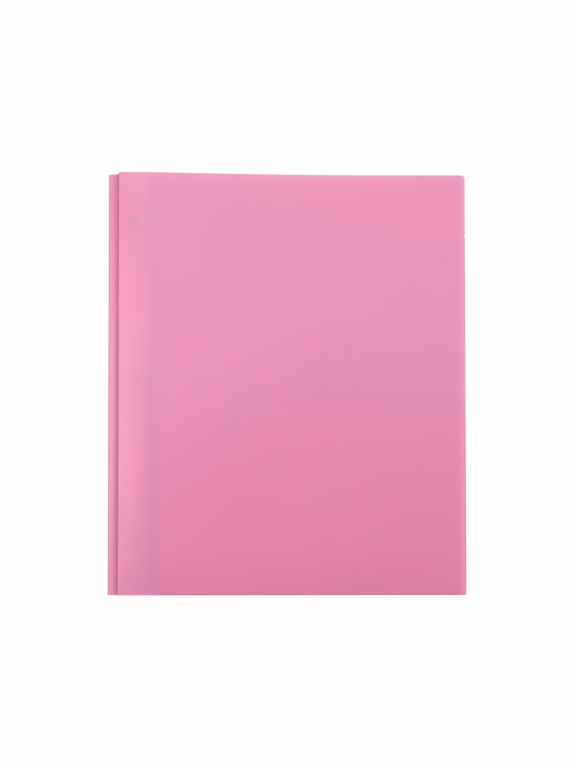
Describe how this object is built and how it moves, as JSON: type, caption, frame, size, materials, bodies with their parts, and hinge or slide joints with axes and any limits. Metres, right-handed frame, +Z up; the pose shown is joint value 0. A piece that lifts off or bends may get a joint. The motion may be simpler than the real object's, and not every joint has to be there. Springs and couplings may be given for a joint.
{
  "type": "plastic pocket folder",
  "caption": "Translucent plastic pocket folder: hinged covers on a creased spine, tall and short inside pockets, and a binding strip with bendable metal prongs.",
  "frame": {"origin": "under the middle of the closed folder, on the surface its back cover lies on", "axes": "+Z up through the closed folder, +X from the spine to the outer edge, +Y to the top edge"},
  "size_m": [0.248, 0.292, 0.01],
  "materials": {
    "cover_sheet": "fine matte grain, translucent pink polypropylene sheet",
    "pocket_sheet": "fine matte grain, translucent pink polypropylene sheet",
    "strip_sheet": "fine matte grain, translucent pink polypropylene sheet",
    "fastener_steel": "tinned sheet steel, satin"
  },
  "bodies": {
    "back": {"back_cover": "cover_sheet", "back_tall_pocket": "pocket_sheet", "back_short_pocket": "pocket_sheet", "back_pocket_bottom_fold": "cover_sheet", "back_short_pocket_side_fold": "cover_sheet", "back_tall_pocket_side_fold": "cover_sheet", "binding_strip": "strip_sheet", "fastener_base_top": "fastener_steel", "fastener_base_middle": "fastener_steel", "fastener_base_bottom": "fastener_steel"},
    "spine": {"spine_panel": "cover_sheet"},
    "front": {"front_cover": "cover_sheet", "front_tall_pocket": "pocket_sheet", "front_short_pocket": "pocket_sheet", "front_pocket_bottom_fold": "cover_sheet", "front_short_pocket_side_fold": "cover_sheet", "front_tall_pocket_side_fold": "cover_sheet"},
    "top_upper_prong": {"prong_top_upper": "fastener_steel"},
    "top_lower_prong": {"prong_top_lower": "fastener_steel"},
    "middle_upper_prong": {"prong_middle_upper": "fastener_steel"},
    "middle_lower_prong": {"prong_middle_lower": "fastener_steel"},
    "bottom_upper_prong": {"prong_bottom_upper": "fastener_steel"},
    "bottom_lower_prong": {"prong_bottom_lower": "fastener_steel"}
  },
  "joints": [
    {"name": "spine_fold", "type": "hinge", "parent": "back", "child": "spine", "pos_m": [-0.12315, 0, 0.00085], "axis": [0, -1, 0], "range_deg": [0, 127]},
    {"name": "cover_fold", "type": "hinge", "parent": "spine", "child": "front", "pos_m": [-0.1164, 0, 0.00975], "axis": [0, -1, 0], "range_deg": [0, 180]},
    {"name": "top_upper_bend", "type": "hinge", "parent": "back", "child": "top_upper_prong", "pos_m": [-0.1064, 0.11045, 0.0014], "axis": [1, 0, 0], "range_deg": [0, 10]},
    {"name": "top_lower_bend", "type": "hinge", "parent": "back", "child": "top_lower_prong", "pos_m": [-0.1064, 0.10725, 0.0014], "axis": [-1, 0, 0], "range_deg": [0, 10]},
    {"name": "middle_upper_bend", "type": "hinge", "parent": "back", "child": "middle_upper_prong", "pos_m": [-0.1064, 0.0025, 0.0014], "axis": [1, 0, 0], "range_deg": [0, 10]},
    {"name": "middle_lower_bend", "type": "hinge", "parent": "back", "child": "middle_lower_prong", "pos_m": [-0.1064, -0.0007, 0.0014], "axis": [-1, 0, 0], "range_deg": [0, 10]},
    {"name": "bottom_upper_bend", "type": "hinge", "parent": "back", "child": "bottom_upper_prong", "pos_m": [-0.1064, -0.10545, 0.0014], "axis": [1, 0, 0], "range_deg": [0, 10]},
    {"name": "bottom_lower_bend", "type": "hinge", "parent": "back", "child": "bottom_lower_prong", "pos_m": [-0.1064, -0.10865, 0.0014], "axis": [-1, 0, 0], "range_deg": [0, 10]}
  ]
}
